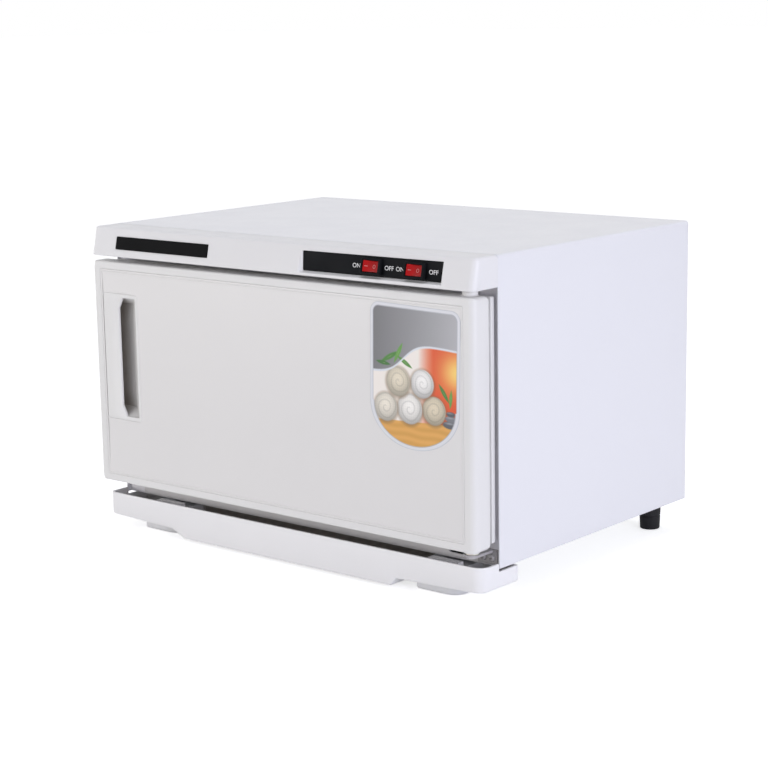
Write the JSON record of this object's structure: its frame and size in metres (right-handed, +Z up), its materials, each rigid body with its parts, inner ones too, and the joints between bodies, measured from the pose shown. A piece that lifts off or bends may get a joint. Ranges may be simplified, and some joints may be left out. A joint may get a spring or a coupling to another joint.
{
  "type": "towel warmer sterilizer",
  "caption": "Countertop hot towel cabinet: heated chamber behind a hinged door, leaning switch fascia on top, pull-out drip tray under the front.",
  "frame": {"origin": "centre of the overall footprint, on the surface that the feet stand on", "axes": "+X to the right of someone facing the door, +Y from the door to the back, +Z up"},
  "size_m": [0.45, 0.3278, 0.2912],
  "materials": {
    "cabinet_paint": "smooth semi-gloss powder coat, faintly cool white",
    "frame_steel": "grey satin finish on folded steel",
    "zinc_steel": "zinc-plated sheet",
    "liner_aluminium": "plain rolled sheet",
    "blanket_fibre": "compressed fibre blanket",
    "white_moulding": "fine satin moulded plastic",
    "door_paint": "smooth semi-gloss coat",
    "black_moulding": "matt black",
    "red_moulding": "glossy translucent red",
    "foam_core": "rigid foam",
    "gasket_rubber": "white silicone rubber",
    "printed_film": "printed plastic film",
    "plain_steel": "plated steel",
    "magnet_ferrite": "sintered ferrite",
    "natural_nylon": "natural nylon",
    "grey_moulding": "moulded plastic",
    "black_rubber": "moulded rubber",
    "lamp_glass": "clear quartz-type lamp glass",
    "cap_aluminium": "drawn aluminium",
    "pale_ceramic": "glazed white",
    "bright_wire": "bright-plated wire"
  },
  "bodies": {
    "cabinet": {"housing_wrap": "cabinet_paint", "base_plate": "zinc_steel", "back_panel": "cabinet_paint", "front_frame": "frame_steel", "left_upright": "frame_steel", "right_upright": "frame_steel", "chamber_liner": "liner_aluminium", "insulation": "blanket_fibre", "component_shelf": "zinc_steel", "top_fascia": "white_moulding", "name_badge": "black_moulding", "switch_label": "black_moulding", "heater_switch_body": "black_moulding", "lamp_switch_body": "black_moulding", "catch_magnets": "magnet_ferrite", "upper_hinge_bracket": "plain_steel", "lower_hinge_bracket": "plain_steel", "upper_hinge_pin": "plain_steel", "lower_hinge_pin": "plain_steel", "front_foot_left": "grey_moulding", "front_foot_right": "grey_moulding", "rear_foot_left": "black_rubber", "rear_foot_right": "black_rubber", "lamp_tube": "lamp_glass", "lamp_caps": "cap_aluminium", "lamp_holders": "pale_ceramic", "lamp_guard": "bright_wire", "towel_rack": "bright_wire", "heater_plate": "liner_aluminium", "thermostat": "pale_ceramic", "thermal_fuse": "plain_steel", "ballast": "plain_steel", "starter": "cap_aluminium", "terminal_block": "natural_nylon", "interlock_body": "black_moulding", "cable_gland": "black_moulding", "back_screws": "plain_steel", "hinge_screws": "plain_steel", "foot_screws": "plain_steel"},
    "door": {"door_shell": "white_moulding", "door_face_panel": "door_paint", "door_inner_pan": "white_moulding", "door_foam": "foam_core", "door_gasket": "gasket_rubber", "handle_insert": "white_moulding", "door_label": "printed_film", "strike_plates": "plain_steel", "hinge_bushes": "natural_nylon", "hinge_washers": "natural_nylon"},
    "drip_tray": {"drip_tray": "white_moulding"},
    "heater_rocker": {"heater_rocker": "red_moulding"},
    "lamp_rocker": {"lamp_rocker": "red_moulding"},
    "interlock_plunger": {"interlock_plunger": "red_moulding"}
  },
  "joints": [
    {"name": "door_hinge", "type": "hinge", "parent": "cabinet", "child": "door", "pos_m": [0.2105, -0.14655, 0.0488], "axis": [0, 0, 1], "range_deg": [0, 120]},
    {"name": "tray_slide", "type": "slide", "parent": "cabinet", "child": "drip_tray", "axis": [0, -1, 0], "range_m": [0, 0.045]},
    {"name": "heater_rocker_pivot", "type": "hinge", "parent": "cabinet", "child": "heater_rocker", "pos_m": [0.1176, -0.1551, 0.27657], "axis": [0, -0.2233, -0.9748], "range_deg": [0, 22]},
    {"name": "lamp_rocker_pivot", "type": "hinge", "parent": "cabinet", "child": "lamp_rocker", "pos_m": [0.1638, -0.1551, 0.27657], "axis": [0, -0.2233, -0.9748], "range_deg": [0, 22]},
    {"name": "interlock_slide", "type": "slide", "parent": "cabinet", "child": "interlock_plunger", "axis": [0, -1, 0], "range_m": [0, 0.003]}
  ],
  "couplings": [
    {"joint": "interlock_slide", "follows": "door_hinge", "m_per_rad": 0.0014324}
  ]
}
